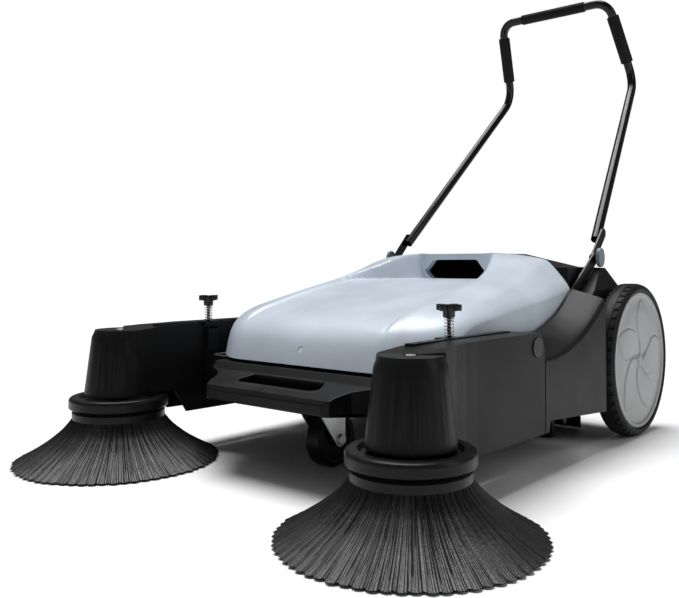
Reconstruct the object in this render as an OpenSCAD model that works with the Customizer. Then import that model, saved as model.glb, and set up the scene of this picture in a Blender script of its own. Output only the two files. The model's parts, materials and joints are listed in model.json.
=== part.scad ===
// Walk-behind push sweeper with two side brushes, a lift-out hopper and a folding push handle.
// Frame: +Z up, the front of the machine faces -Y, the ground is z = 0, and the origin lies on
// the ground at the middle of the machine's overall length and width. All sizes in millimetres.

/* [Side brushes] */
// Sideways distance from the middle of the machine to each side brush spindle
brush_x = 337; // [330:1:345]
// Distance of the side brush spindles ahead of the origin
brush_ahead = 528; // [520:1:535]
// Radius of the flared bristle skirt where it meets the floor
bristle_r = 188; // [170:1:190]
// Radius of the upper flange of the brush plate
plate_r = 89; // [86:0.5:90]
// Radius of the block ring that holds the bristles
ring_r = 83; // [80:0.5:84]

/* [Arms] */
// Radius of the gear tower at its foot
tower_foot_r = 62.5; // [61:0.5:64]
// Radius of the gear tower under its bevelled top
tower_top_r = 50; // [49:0.5:52]
// Height of the flat top of the gear tower
tower_top_z = 242; // [240:1:246]
// Height of the top face of the arm
arm_top_z = 248; // [246:1:250]
// Half of the width between the inner faces of the two arms
arm_in_x = 282; // [282:0.5:283]
// Half of the width over the outer faces of the two arms
arm_out_x = 345; // [343:0.5:347]

/* [Wheels] */
// Radius of the rear wheels over the tyre
wheel_r = 161; // [158:1:163]
// Distance of the rear axle behind the origin
wheel_behind = 287; // [285:1:290]
// Half of the width over the outer faces of the rear wheels
wheel_out_x = 352; // [350:1:356]
// Width of the rear tyres
tyre_w = 46; // [42:1:46]
// Radius of the hubcap
hubcap_r = 145; // [140:1:146]
// Radius of the caster wheel
caster_r = 50; // [48:1:51]
// Distance of the caster wheel's centre ahead of the origin
caster_ahead = 313; // [305:1:320]

/* [Main brush] */
// Radius of the main roller brush over its bristles
roller_r = 105; // [100:1:106]
// Length of the bristled part of the roller
roller_len = 430; // [400:5:432]
// Distance of the roller axis behind the origin
roller_behind = 144; // [142:1:146]

/* [Handle] */
// Diameter of the handle tube
tube_d = 22; // [20:1:24]
// Outside diameter of the two grips
grip_d = 31; // [28:1:33]
// Distance of the fold pivot behind the origin
pivot_behind = 236; // [232:1:240]
// Height of the fold pivot
pivot_z = 378; // [370:1:380]

/* [Hood] */
// Height of the highest line of the hood, above the grip opening
ridge_z = 388; // [380:1:390]
// Half of the width of the hood at its side walls
hood_x = 268; // [262:1:268]
// Wall thickness of the hood shell
hood_wall = 3; // [2.5:0.5:4]

/* [Hidden] */
$fn = 64;

brush_y = -brush_ahead;
wheel_y = wheel_behind;
caster_y = -caster_ahead;
roller_y = roller_behind;
roller_z = roller_r + 2;
pivot_y = pivot_behind;

// Arm pivot, and the gear tower's cross shaft
arm_pivot = [-179, 224];
cross_z = 205;
arm_end_y = -152;

// Height adjuster beside each arm
adjust = [287, -359];
spring_foot_z = 251;
spring_top_z = 281;

// Belts: a flat belt runs in each of these planes, given by its inner face
belt_w = 5;
belt_t = 2.5;
belt_gap = 0.35;
rear_belt_x = 287;
arm_belt_x = 294;
roller_belt_x = -248;
small_pulley_r = 14;
drive_pulley_r = small_pulley_r * 1.5;
roller_pulley_r = 20;
roller_drive_r = roller_pulley_r * 2;

// Shafts
axle_r = 8;
shaft_r = 5;
spindle_r = 7;
pin_r = 6;
run_gap = 0.05;

// Handle corner points on the right-hand side, before the bends are rounded
handle_foot = [256, 276, 418];
handle_elbow = [185, 704, 857];
handle_corner = [157, 602, 1055];
bracket_x = 269;
bracket_t = 4;
plate_x = 264.7;
// The bracket bar runs from its low end to the pivot, as (y, z)
bracket_low = [62, 263];
bracket_bolt_at = [0.09, 0.23];
tube_wall = 1.5;
pivot_bolt_r = 4;

// Hood catch button
button_y = -389;
button_z = 213;
button_lean = 16;

wheel_in_x = wheel_out_x - tyre_w;

// Chassis walls
wall_in_x = 268;
wall_out_x = 272;
rim_z = 186;
cheek_x = 224;
cheek_t = 6;

// Places a child on the right-hand side, or its mirror image on the left
module side(s) {
    if (s > 0) children();
    else mirror([1, 0, 0]) children();
}

// Extrudes a (y, z) outline along X
module yz(x, w) {
    translate([x, 0, 0]) rotate([90, 0, 90]) linear_extrude(w) children();
}

// Extrudes an (x, z) outline from front to back
module xz(y, depth) {
    translate([0, y + depth, 0]) rotate([90, 0, 0]) linear_extrude(depth) children();
}

// A cylinder along X
module xcyl(x, w, y, z, r) {
    translate([x, y, z]) rotate([0, 90, 0]) cylinder(h = w, r = r);
}

// Points on an arc, from angle a0 to a1
function arc(c, r, a0, a1, n = 16) =
    [for (i = [0 : n]) let (a = a0 + (a1 - a0) * i / n) [c[0] + r * cos(a), c[1] + r * sin(a)]];

function unit(v) = v / norm(v);

// Rounded path corner at b, between a and c
function bend(a, b, c, r, n = 8) =
    let (d1 = unit(a - b), d2 = unit(c - b), half = acos(d1 * d2) / 2)
    let (m = b + unit(d1 + d2) * r / sin(half))
    let (u = b + d1 * r / tan(half) - m, v = b + d2 * r / tan(half) - m, turn = 180 - 2 * half)
    [for (i = [0 : n]) m + (u * sin(turn * (1 - i / n)) + v * sin(turn * i / n)) / sin(turn)];

// Tube or wire: rings of the given radius along a path, seen against a fixed side direction
module sweep(path, r, sides, ref) {
    last = len(path) - 1;
    rings = [for (i = [0 : last])
        let (t = unit(path[min(i + 1, last)] - path[max(i - 1, 0)]))
        let (u = unit(cross(t, ref)), v = cross(t, u))
        for (k = [0 : sides - 1]) path[i] + r * (u * cos(360 * k / sides) + v * sin(360 * k / sides))];
    walls = [for (i = [0 : last - 1], k = [0 : sides - 1])
        let (a = i * sides + k, b = i * sides + (k + 1) % sides)
        each [[a, a + sides, b], [b, a + sides, b + sides]]];
    ends = [[for (k = [0 : sides - 1]) k], [for (k = [sides - 1 : -1 : 0]) last * sides + k]];
    polyhedron(rings, concat(walls, ends), convexity = 6);
}

// Straight round rod from a to b
module rod(a, b, r) {
    d = b - a;
    translate(a) rotate([0, acos(d[2] / norm(d)), atan2(d[1], d[0])]) cylinder(h = norm(d), r = r);
}

// Skin over a row of outlines that all have the same number of points
module loft(outlines) {
    n = len(outlines[0]);
    last = len(outlines) - 1;
    points = [for (o = outlines) each o];
    walls = [for (i = [0 : last - 1], k = [0 : n - 1])
        let (a = i * n + k, b = i * n + (k + 1) % n)
        each [[a, b, a + n], [b, b + n, a + n]]];
    ends = [[for (k = [n - 1 : -1 : 0]) k], [for (k = [0 : n - 1]) last * n + k]];
    polyhedron(points, concat(walls, ends), convexity = 10);
}

// Outline around two pulleys, at the given radii
function loop(a, ra, b, rb) =
    let (d = b - a, lean = atan2(d[1], d[0]), open = acos((ra - rb) / norm(d)))
    concat(arc(a, ra, lean + open, lean + 360 - open, 24), arc(b, rb, lean - open, lean + open, 16));

// Flat belt around two pulleys whose belt seats have radii ra and rb
module belt(x, a, ra, b, rb) {
    yz(x, belt_w) difference() {
        polygon(loop(a, ra + belt_gap + belt_t, b, rb + belt_gap + belt_t));
        polygon(loop(a, ra + belt_gap, b, rb + belt_gap));
    }
}

// Pulley with a flange each side of its belt seat
module pulley(x, w, at, r) {
    xcyl(x, w, at[0], at[1], r);
    xcyl(x - 1.4, 1.2, at[0], at[1], r + 3);
    xcyl(x + w + 0.2, 1.2, at[0], at[1], r + 3);
    xcyl(x - 1.4, w + 2.8, at[0], at[1], r - 0.2);
}

// ---- Chassis ----

module chassis() {
    color("#1d1e20") difference() {
        union() {
            for (s = [-1, 1]) side(s) {
                yz(wall_in_x, wall_out_x - wall_in_x)
                    polygon([[-378, 108], [-300, 85], [118, 80], [118, rim_z], [-378, rim_z]]);
                // Threaded lug for the height adjuster
                translate([wall_in_x, adjust[1] - 13, 150]) cube([32, 26, rim_z - 150]);
                translate([wall_out_x - 1.5, adjust[1] - 13, 150]) cube([22, 26, 86]);
                // Upright that carries the arm pivot pin
                yz(wall_in_x, 8) polygon([[-205, 120], [-153, 120], [-153, rim_z], [-205, rim_z]]);
                yz(wall_out_x - 1.5, 5.5) polygon(concat([[-205, 170], [-153, 170]],
                    arc(arm_pivot, 15, 0, 180)));
                // Cheek that holds the roller and the axle
                yz(cheek_x, cheek_t)
                    polygon([[26, 80], [336, 80], [336, 200], [235, 224], [70, 224], [26, 190]]);
            }
            translate([-wall_out_x, -378, 108]) cube([2 * wall_out_x, 4, rim_z - 108]);
            translate([-wall_out_x, -376, 116]) cube([2 * wall_out_x, 406, 4]);
            translate([-wall_out_x, 26, 80]) cube([2 * wall_out_x, 4, 40]);
            translate([-cheek_x - 1, 262, 80]) cube([2 * cheek_x + 2, 6, 18]);
            translate([-296, 334, 80]) cube([592, 4, 150]);
        }
        for (s = [-1, 1]) side(s) {
            xcyl(cheek_x - 1, cheek_t + 2, roller_y, roller_z, 16);
            xcyl(cheek_x - 1, cheek_t + 2, wheel_y, wheel_r, axle_r + 0.02);
            xcyl(wall_in_x - 1, 12, arm_pivot[0], arm_pivot[1], pin_r);
            translate([adjust[0], adjust[1], 140]) cylinder(h = 110, r = 3 + run_gap);
        }
        // Caster bolts pass through the floor
        for (x = [-32, 32], y = [-22, 22]) translate([x, caster_y - 28 + y, 110]) cylinder(h = 12, r = 3.3);
    }
}

// Outline of the rear deck as (x, z), set in by t
function deck(t) = [[-301 + t, 78 - 5 * t], [-301 + t, 309 - 0.5 * t], [-284 + 0.7 * t, 356 - t],
    [-225 + 0.3 * t, 358 - t], [-110, ridge_z - 1 - t], [110, ridge_z - 1 - t], [225 - 0.3 * t, 358 - t],
    [284 - 0.7 * t, 356 - t], [301 - t, 309 - 0.5 * t], [301 - t, 78 - 5 * t]];

// Slanted floor of the open corners, below the handle brackets, as (y, z) lines
corner_low = [119, 282];
corner_high = [246, 366];

module deck_solid() {
    intersection() {
        xz(119, 242) polygon(deck(0));
        yz(-302, 604) polygon([[119, 78], [119, 400], [216, 400], [358, 252], [358, 92], [346, 78]]);
    }
}

// Raised rear deck that covers the roller and the axle
module rear_housing() {
    color("#232427") difference() {
        union() {
            difference() {
                deck_solid();
                intersection() {
                    xz(122, 250) polygon(deck(3.6));
                    yz(-300, 600) polygon([[122, 60], [122, 400], [214, 400], [354, 249], [354, 60]]);
                }
            }
            // Walls round the open corners
            intersection() {
                deck_solid();
                for (s = [-1, 1]) side(s) {
                    yz(258, 45) polygon([corner_low - [1, 5], corner_low - [1, 0], corner_high,
                        corner_high - [0, 5]]);
                    yz(258, 4) polygon([corner_low - [1, 5], corner_low + [-1, 120], corner_high + [0, 40],
                        corner_high - [0, 5]]);
                }
            }
        }
        for (s = [-1, 1]) side(s) {
            xcyl(290, 20, wheel_y, wheel_r, 16);
            yz(262, 41) polygon([corner_low - [2, 1], corner_low + [-2, 120], corner_high + [0, 40],
                corner_high]);
        }
        // Way for the dirt below, and room for the fingers behind the hood's grip
        translate([-297, 110, 60]) cube([594, 20, 167]);
        translate([-88, 110, 322]) cube([176, 20, 56]);
    }
}

// Rear to front: y, then the top's height at the outer edge, at the belt and at the inner edge
fender_rows = [[110, 293, 308, 314], [64, 263, 277, 283], [22, 240, 255, 262], [-20, 223, 240, 248],
    [-55, 213, 234, 240], [-88, 206, 236.5, 240], [-126, 202, 241, 243], [-149, 202, 243, 245]];

// Rear side panel: a hollow moulding whose top sweeps up to the wheel
module side_fenders() {
    foot = [[-149, 76], [-137, 76], [-133, 95], [110, 76]];
    color("#26272a") for (s = [-1, 1]) side(s) difference() {
        intersection() {
            loft([for (r = fender_rows) [[wall_out_x, r[0], 60], [wall_out_x, r[0], r[3]], [297, r[0], r[2]],
                [arm_out_x - 4, r[0], r[1] + 3], [arm_out_x, r[0], r[1]], [arm_out_x, r[0], 60]]]);
            yz(wall_out_x - 1, 80) polygon(concat(foot, [[111, 330], [-150, 330]]));
        }
        loft([for (r = fender_rows) let (y = r[0] < -148 ? -151 : r[0] > 109 ? 112 : r[0])
            [[wall_out_x + 3, y, 50], [wall_out_x + 3, y, r[3] - 3.5], [296, y, r[2] - 3.2],
            [arm_out_x - 5, y, r[1] - 1.5], [arm_out_x - 3, y, r[1] - 3], [arm_out_x - 3, y, 50]]]);
        // Rebate that the handle bracket is bolted in
        translate([bracket_x - 2, 40, 245]) cube([bracket_t + 2, 75, 90]);
        for (p = bracket_bolts_yz) xcyl(wall_out_x - 1, 6, p[0], p[1], 3.1);
    }
}

// ---- Front bumper ----

bumper_plan = [[0, -484], [132, -484], [146, -478], [153, -462], [160, -442], [182, -424], [210, -412],
    [214, -378.5], [0, -378.5]];

module bumper_outline() {
    polygon(concat(bumper_plan, [for (i = [len(bumper_plan) - 2 : -1 : 1])
        [-bumper_plan[i][0], bumper_plan[i][1]]]));
}

slot_plan = [[-96, -447], [-84, -456], [84, -456], [96, -447], [84, -420], [-84, -420]];

// Carrying bar across the front, with a hand slot behind it
module bumper_handle() {
    color("#242527") difference() {
        intersection() {
            translate([0, 0, 100]) linear_extrude(100) bumper_outline();
            yz(-230, 460) polygon([[-484, 129], [-480, 127], [-378, 127], [-378, 182], [-402, 182],
                [-414, 170], [-466, 158], [-478, 152], [-484, 145]]);
        }
        difference() {
            intersection() {
                translate([0, 0, 100]) linear_extrude(100) offset(delta = -4) bumper_outline();
                yz(-230, 460) polygon([[-479, 120], [-382, 120], [-382, 177], [-400, 177], [-411, 165],
                    [-464, 153], [-479, 145]]);
            }
            translate([0, 0, 100]) linear_extrude(100) offset(delta = 4) polygon(slot_plan);
        }
        translate([0, 0, 100]) linear_extrude(100) polygon(slot_plan);
    }
}

// ---- Hood and hopper ----

// Height of the top panel above the ground, by distance behind the hood's front edge
panel_rise = [[0, 188], [7, 212], [14, 235], [28, 254], [50, 268], [80, 280], [110, 289], [170, 303],
    [230, 316], [290, 328], [320, 334], [400, 358], [470, 382], [500, 388], [515, 387]];
// Y of the hood's front edge, by distance from the middle
front_line = [[0, -398], [160, -398], [184, -391], [205, -380], [235, -360], [258, -337], [268, -318]];
hood_stations = [0, 110, 160, 172, 184, 205, 235, 258, 268];
hood_length = 515;
hood_rear_y = 117;
// Where the fall towards the sides starts, and how far the surface falls at the side wall
fall_start = [[-400, 190], [-100, 176], [110, 108]];
side_fall = [[-310, 0], [-176, 21], [-38, 32], [73, 45], [110, 53]];

function front_edge(x) = lookup(abs(x), front_line);

function hood_top(x, y) =
    let (from = lookup(y, fall_start), u = max(0, abs(x) - from) / (hood_x - from))
    lookup(y - front_edge(x), panel_rise) - lookup(y, side_fall) * u * u;

// One front-to-back outline of the hood, at a station x, lowered and narrowed by t
function hood_outline(x, foot, t) =
    let (front = front_edge(x) + 1.3 * t, rear = hood_rear_y - t, k = (hood_x - t) / hood_x)
    concat([[x * k, front, foot]],
        [for (i = [1 : len(panel_rise) - 1])
            let (y = front + (rear - front) * panel_rise[i][0] / hood_length)
            [x * k, y, hood_top(x, y - t) - t]],
        [[x * k, rear, foot]]);

module hood_solid(foot, t) {
    xs = concat([for (i = [len(hood_stations) - 1 : -1 : 1]) -hood_stations[i]], hood_stations);
    loft([for (x = xs) hood_outline(x, foot, t)]);
}

// Hand opening under the ridge, as an (x, z) outline
grip_hex = [[-76, 352], [-56, 373], [56, 373], [76, 352], [60, 332], [-60, 332]];
grip_front_y = -78;
grip_rear_y = 98;

// Level floor in front of the hand opening; its leaning flanks run out towards the front corners
module grip_recess(grow) {
    hull() {
        translate([-160 - grow, grip_front_y - grow, 335 - grow]) cube([320 + 2 * grow, 1, 1]);
        translate([-184 - grow, grip_front_y - grow, 400]) cube([368 + 2 * grow, 1, 1]);
        translate([-77 - grow, grip_rear_y - 1, 335 - grow]) cube([154 + 2 * grow, 1, 1]);
        translate([-101 - grow, grip_rear_y - 1, 400]) cube([202 + 2 * grow, 1, 1]);
    }
}

// Shell that covers the hopper, with the carrying grip recessed under its ridge
module hood() {
    color("#b4c0cc") difference() {
        hood_solid(188, 0);
        difference() {
            hood_solid(180, hood_wall);
            grip_recess(hood_wall);
            translate([-104, grip_rear_y - 2, 325]) cube([208, 30, 90]);
        }
        grip_recess(0);
        xz(grip_rear_y - 3, 40) polygon(grip_hex);
        // The rear of the shell stands clear above the roller's guide
        translate([-270, 36, 180]) cube([540, 90, 47]);
        translate([0, button_y, button_z]) rotate([90 - button_lean, 0, 0])
            cylinder(h = 40, r = 6.3, center = true);
    }
}

// Round push button of the hood catch, with its plunger
module hood_button() {
    color("#dfe3e6") translate([0, button_y, button_z]) rotate([90 - button_lean, 0, 0]) {
        translate([0, 0, -1]) cylinder(h = 3.4, r = 6);
        translate([0, 0, -16]) cylinder(h = 16, r = 4);
    }
}

// Dirt container under the hood, open towards the roller
module hopper_bin() {
    outer = [[-370, 124], [-370, 184], [-366, 187.6], [-60, 187.6], [20, 187.6], [20, 124]];
    color("#3a3c40") difference() {
        union() {
            yz(-256, 512) polygon(outer);
            translate([-262, -366, 184]) cube([524, 386, 3.6]);
        }
        yz(-253, 506) polygon([[-367, 127], [-367, 200], [17, 200], [17, 127]]);
        translate([-240, 10, 150]) cube([480, 20, 60]);
    }
}

// ---- Side arms ----

// Profile of the gear tower, as (radius, z)
tower_outer = [[0, 122], [tower_foot_r, 122], [tower_top_r, 228], [tower_top_r - 6, tower_top_z],
    [0, tower_top_z]];
tower_inner = [[0, 110], [tower_foot_r - 3, 110], [tower_foot_r - 3.5, 122], [tower_top_r - 4, 226],
    [tower_top_r - 9, 235], [0, 235]];

// Side view of the arm as (y, z): the tower's foot, the step down, the skirt and the top
function arm_side(t) = [[brush_y, 123 - 20 * t], [-443, 123 - 20 * t], [-415, 79 - 20 * t],
    [arm_end_y + 20 * t, 76 - 20 * t], [arm_end_y + 20 * t, arm_pivot[1]], [arm_pivot[0], arm_pivot[1]],
    [arm_pivot[0], arm_top_z - 3.5 * t], [-400, arm_top_z + 1 - 3.5 * t], [-470, arm_top_z - 1 - 3.5 * t],
    [brush_y, tower_top_z - 7 * t]];

// Plan view of the arm, with a concave blend from the tower to the flat side
function arm_plan(t) =
    let (blend = [for (a = [0 : 15 : 75]) [arm_out_x + 36 * (1 - cos(a)) - 3.5 * t, -370 - 130 * sin(a)]])
    concat([[arm_in_x + 3.5 * t, brush_y], [arm_in_x + 3.5 * t, -140], [arm_out_x - 3.5 * t, -140]],
        blend, [[brush_x, brush_y]]);

module arm_body(t) {
    intersection() {
        union() {
            yz(arm_in_x - 5, 110) polygon(arm_side(t));
            xcyl(arm_in_x - 5, 110, arm_pivot[0], arm_pivot[1], 24 - 3.5 * t);
        }
        translate([0, 0, 50]) linear_extrude(250) polygon(arm_plan(t));
    }
}

// Swinging arm: hollow tower for the bevel drive, skirt, knuckle and adjuster tab
module side_arm(s) {
    color("#1f2022") side(s) difference() {
        union() {
            difference() {
                union() {
                    translate([brush_x, brush_y, 0]) rotate_extrude() polygon(tower_outer);
                    arm_body(0);
                    translate([273, adjust[1] - 19, 241]) cube([27, 38, 9.5]);
                }
                translate([brush_x, brush_y, 0]) rotate_extrude() polygon(tower_inner);
                arm_body(1);
            }
            // Raised spine along the arm's top
            translate([arm_in_x + 8, -478, arm_top_z - 2]) cube([14, 280, 4.5]);
            intersection() {
                union() {
                    // Bearing housing of the spindle and the plate that holds it
                    translate([brush_x, brush_y, 126]) cylinder(h = 50, r = 18);
                    translate([brush_x, brush_y, 148]) cylinder(h = 5, r = 62);
                    // Web and boss that carry the cross shaft
                    translate([301.5, brush_y - 70, 148]) cube([5, 140, 100]);
                    xcyl(arm_in_x, 8, brush_y, cross_z, 10);
                }
                translate([brush_x, brush_y, 0]) rotate_extrude() polygon(tower_outer);
            }
        }
        translate([brush_x, brush_y, 120]) cylinder(h = 60, r = 9);
        translate([brush_x, brush_y, 120]) cylinder(h = 14, r = 13);
        translate([brush_x, brush_y, 168]) cylinder(h = 12, r = 13);
        xcyl(284, 30, brush_y, cross_z, shaft_r + run_gap);
        // Way out of the knuckle for the rear belt
        translate([arm_in_x + 3.5, arm_pivot[0] + 1, 222]) cube([8, 30, 22]);
        translate([brush_x, brush_y, tower_top_z - 3]) cylinder(h = 10, r = 10);
        translate([brush_x, brush_y, 230]) cylinder(h = 20, r = 3);
        // Pivot holes, clearance for the lug and the adjuster screw
        xcyl(arm_in_x - 2, 80, arm_pivot[0], arm_pivot[1], pin_r + run_gap);
        translate([270, adjust[1] - 15, 136]) cube([26, 34, 103]);
        translate([adjust[0], adjust[1], 235]) cylinder(h = 30, r = 5.5);
    }
}

module arm_belt(s) {
    color("#141414") side(s)
        belt(arm_belt_x, arm_pivot, small_pulley_r, [brush_y, cross_z], small_pulley_r);
}

module spindle_bearings(s) {
    color("#9a9da1") side(s) for (z = [126, 168]) translate([brush_x, brush_y, z]) difference() {
        cylinder(h = 8, r = 13);
        translate([0, 0, -1]) cylinder(h = 10, r = spindle_r + run_gap);
    }
}

// Hexagon bolt in the recess on top of the tower
module tower_bolt(s) {
    color("#c3c6c8") side(s) translate([brush_x, brush_y, 0]) {
        translate([0, 0, tower_top_z - 3]) cylinder(h = 3.5, r = 8, $fn = 6);
        translate([0, 0, 231]) cylinder(h = 9, r = 3);
    }
}

// Double pulley that turns on the arm's pivot pin, so that the drive follows the arm
module pivot_pulley(s) {
    color("#4b4d50") side(s) difference() {
        union() {
            pulley(rear_belt_x, belt_w, arm_pivot, small_pulley_r);
            pulley(arm_belt_x, belt_w, arm_pivot, small_pulley_r);
        }
        xcyl(280, 30, arm_pivot[0], arm_pivot[1], pin_r + run_gap);
    }
}

// ---- Bevel drive and side brush ----

bevel_teeth = 16;

// 45-degree bevel gear with its large end at z = 0, and teeth standing above the root cone
module bevel(phase) {
    cylinder(h = 10, r1 = 22, r2 = 12);
    intersection() {
        cylinder(h = 10, r1 = 25, r2 = 15);
        for (i = [0 : bevel_teeth - 1]) rotate(phase + i * 360 / bevel_teeth)
            translate([5, 0, 0]) linear_extrude(10) polygon([[0, -0.7], [20, -1.6], [20, 1.6], [0, 0.7]]);
    }
}

// Cross shaft with its belt pulley and the bevel pinion
module pinion_shaft(s) {
    color("#6d7074") side(s) {
        xcyl(284.5, 29, brush_y, cross_z, shaft_r);
        pulley(arm_belt_x, belt_w, [brush_y, cross_z], small_pulley_r);
        translate([brush_x - 24, brush_y, cross_z]) rotate([0, 90, 0]) bevel(180 / bevel_teeth);
    }
}

// Upright spindle with the driven bevel gear on its top
module geared_spindle(s) {
    color("#85888c") side(s) translate([brush_x, brush_y, 0]) {
        translate([0, 0, 96]) cylinder(h = 85, r = spindle_r);
        translate([0, 0, 176.5]) cylinder(h = 4.5, r = 11);
        translate([0, 0, cross_z - 24]) bevel(0);
    }
}

// Round plate that carries the bristle ring, with a rounded upper flange
module brush_plate(s) {
    color("#1b1c1e") side(s) translate([brush_x, brush_y, 0]) rotate_extrude()
        polygon(concat([[spindle_r, 96], [76, 96], [76, 99], [plate_r - 3, 99]],
            arc([plate_r - 3, 102], 3, -60, 0, 3), arc([plate_r - 7, 113], 7, 0, 90, 6),
            [[72, 120], [67, 114], [20, 114], [16, 124], [spindle_r, 124]]));
}

// Block ring that holds the bristles
module bristle_ring(s) {
    color("#161719") side(s) translate([brush_x, brush_y, 0]) rotate_extrude()
        polygon([[24, 84], [ring_r - 14, 84], [ring_r - 10, 80], [ring_r, 80], [ring_r, 92],
            [ring_r - 4, 96], [24, 96]]);
}

function flare(z) = ring_r - 2 + (bristle_r - ring_r + 2) * pow((84 - z) / 80, 1.5);

// Flared skirt of bristles, as one closed ring with a hollow underside
module side_bristles(s) {
    heights = [80, 74, 65, 54, 42, 30, 18, 8, 4];
    outer = [for (z = heights) [flare(z), z]];
    inner = [for (i = [len(heights) - 2 : -1 : 1]) [flare(heights[i]) - 12, heights[i] - 1.6]];
    color("#121314") side(s) translate([brush_x, brush_y, 0]) rotate_extrude()
        polygon(concat(outer, [[bristle_r - 1, 1.5], [bristle_r - 12, 1.5]], inner, [[flare(80) - 11, 80]]));
}

// ---- Height adjusters ----

// Star knob with its threaded screw and the collar that the spring bears on
module adjuster_knob(s) {
    color("#101113") side(s) translate([adjust[0], adjust[1], 0]) {
        translate([0, 0, 205]) cylinder(h = 82, r = 3);
        translate([0, 0, spring_top_z]) cylinder(h = 2.2, r = 9);
        translate([0, 0, 283]) cylinder(h = 9, r = 9.5);
        translate([0, 0, 291]) cylinder(h = 10, r = 13);
        for (a = [0 : 90 : 270]) rotate(a) {
            translate([10, -5.5, 292]) cube([7, 11, 9.5]);
            translate([17, 0, 292]) cylinder(h = 9.5, r = 5.5);
        }
    }
}

coil_turns = 6;
coil_r = 7.2;
wire_r = 0.8;

module adjuster_spring(s) {
    low = spring_foot_z + wire_r - 0.3;
    high = spring_top_z - wire_r - 0.2;
    coil = [for (i = [0 : coil_turns * 12]) let (a = i * 30)
        [adjust[0] + coil_r * cos(a), adjust[1] + coil_r * sin(a), low + (high - low) * i / (coil_turns * 12)]];
    color("#c9cccf") side(s) sweep(coil, wire_r, 6, [0, 0, 1]);
}

// ---- Wheels ----

// Revolves an (radius, x) outline about the wheel axis
module turned(outline) {
    translate([wheel_in_x, wheel_y, wheel_r]) rotate([0, 90, 0]) rotate_extrude() polygon(outline);
}

module tyre(s) {
    color("#161616") side(s) turned([[hubcap_r - 2, 0], [wheel_r - 4, 0], [wheel_r, 5],
        [wheel_r, tyre_w - 7], [wheel_r - 5, tyre_w], [hubcap_r + 1, tyre_w], [hubcap_r - 2, tyre_w - 4]]);
}

module wheel_rim(s) {
    hub_in = axle_r + 0.06;
    color("#3c3f43") side(s) turned([[hub_in, 2], [24, 2], [26, 16], [hubcap_r - 12, 16], [hubcap_r - 7, 2],
        [hubcap_r - 2, 2], [hubcap_r - 2, tyre_w - 6], [hubcap_r - 7, tyre_w - 6], [hubcap_r - 12, 22],
        [24, 22], [22, 33], [hub_in, 33]]);
}

module hubcap(s) {
    color("#8f9499") side(s) turned([[0, 38], [30, 38], [36, 36.5], [hubcap_r - 12, 37], [hubcap_r - 8, 40.2],
        [hubcap_r - 2.2, 40.2], [hubcap_r - 2.2, 44], [hubcap_r - 6, 45], [hubcap_r - 12, 41],
        [38, 41], [30, 44.5], [0, 45]]);
}

// Hub sleeve with the pulleys that take the drive from the wheel
module drive_pulleys(s) {
    inner = s > 0 ? rear_belt_x - 3 : -roller_belt_x - 9;
    color("#4b4d50") side(s) difference() {
        union() {
            xcyl(inner, wheel_in_x + 2 - inner, wheel_y, wheel_r, 13);
            pulley(rear_belt_x, belt_w, [wheel_y, wheel_r], drive_pulley_r);
            if (s < 0) pulley(-roller_belt_x - belt_w, belt_w, [wheel_y, wheel_r], roller_drive_r);
        }
        xcyl(inner - 5, 100, wheel_y, wheel_r, axle_r + 0.06);
    }
}

module wheel_axle() {
    color("#a9adb0") difference() {
        xcyl(-342, 684, wheel_y, wheel_r, axle_r);
        for (x = [-340, 338.8]) translate([x, wheel_y, wheel_r]) rotate([0, 90, 0]) difference() {
            cylinder(h = 1.2, r = axle_r + 1);
            translate([0, 0, -1]) cylinder(h = 4, r = axle_r - 0.6);
        }
    }
}

module wheel_belts() {
    color("#141414") for (s = [-1, 1]) side(s)
        belt(rear_belt_x, [wheel_y, wheel_r], drive_pulley_r, arm_pivot, small_pulley_r);
}

module arm_pivot_pins() {
    color("#222326") for (s = [-1, 1]) side(s) {
        xcyl(wall_in_x, arm_out_x - wall_in_x + 1, arm_pivot[0], arm_pivot[1], pin_r);
        xcyl(arm_out_x + 0.3, 1.6, arm_pivot[0], arm_pivot[1], 17);
    }
}

// ---- Roller ----

bristle_rows = 10;

module roller_core() {
    color("#8b8e91") {
        xcyl(-222, 444, roller_y, roller_z, 25);
        xcyl(-250, 484, roller_y, roller_z, axle_r);
    }
}

// Lengthwise rows of bristles standing on a sleeve
module roller_bristles() {
    color("#1a1b1c") difference() {
        intersection() {
            xcyl(-roller_len / 2, roller_len, roller_y, roller_z, roller_r);
            union() {
                xcyl(-roller_len / 2 - 1, roller_len + 2, roller_y, roller_z, 34);
                for (i = [0 : bristle_rows - 1]) translate([-roller_len / 2 - 1, roller_y, roller_z])
                    rotate([i * 360 / bristle_rows, 0, 0]) translate([0, -6, 0])
                        cube([roller_len + 2, 12, roller_r]);
            }
        }
        xcyl(-roller_len / 2 - 1, roller_len + 2, roller_y, roller_z, 25);
    }
}

module roller_bearings() {
    color("#9a9da1") for (s = [-1, 1]) side(s) difference() {
        xcyl(cheek_x, cheek_t, roller_y, roller_z, 16);
        xcyl(cheek_x - 1, cheek_t + 2, roller_y, roller_z, axle_r + run_gap);
    }
}

module roller_pulley() {
    color("#4b4d50") difference() {
        pulley(roller_belt_x, belt_w, [roller_y, roller_z], roller_pulley_r);
        xcyl(-260, 30, roller_y, roller_z, axle_r);
    }
}

module roller_belt() {
    color("#141414")
        belt(roller_belt_x, [wheel_y, wheel_r], roller_drive_r, [roller_y, roller_z], roller_pulley_r);
}

// Curved guide behind and above the roller that sends the dirt forward into the hopper
module brush_tunnel() {
    gap_r = roller_r + 7;
    color("#5c5f63") yz(-cheek_x + 0.2, 2 * cheek_x - 0.4) polygon(concat(
        arc([roller_y, roller_z], gap_r, -5, 116, 30), arc([roller_y, roller_z], gap_r + 2.5, 116, -5, 30)));
}

module rear_flap() {
    color("#17181a") translate([-220, 268, 3]) cube([440, 3, 93]);
}

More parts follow.
